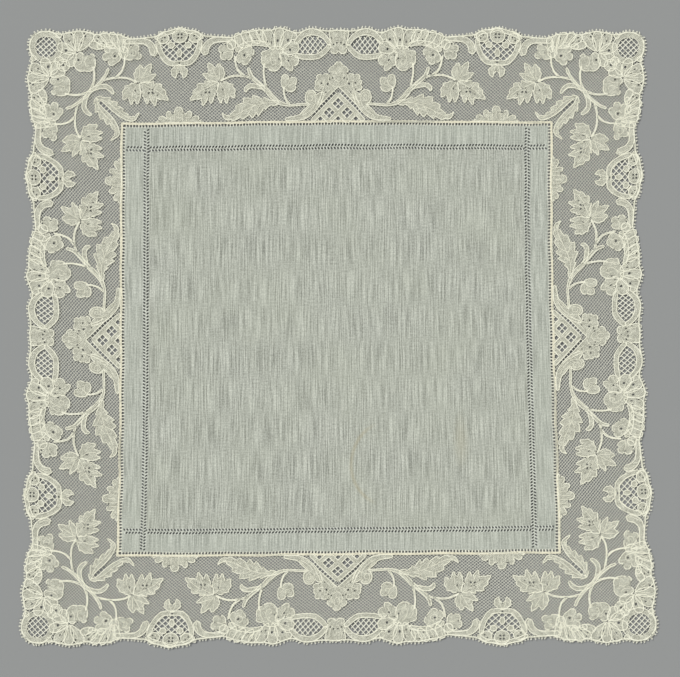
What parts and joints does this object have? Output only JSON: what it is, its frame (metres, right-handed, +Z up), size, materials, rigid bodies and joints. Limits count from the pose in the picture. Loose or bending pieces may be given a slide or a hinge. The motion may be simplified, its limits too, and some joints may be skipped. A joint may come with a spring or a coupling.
{
  "type": "lace handkerchief",
  "caption": "Square linen handkerchief with a drawn-thread hem and a wide scalloped bobbin-lace border, laid flat.",
  "frame": {"origin": "middle of the underside, on the surface that the cloth lies on", "axes": "+Z up through the cloth, right side up; +Y towards the side that lies at the top; +X towards the side at the right"},
  "size_m": [0.338, 0.33, 0.0013],
  "materials": {
    "linen": "sheer greyish white plain-weave linen, matt",
    "lace": "cream linen-thread bobbin lace, matt"
  },
  "bodies": {
    "root": {"linen_centre": "linen", "lace_border": "lace"}
  },
  "joints": []
}
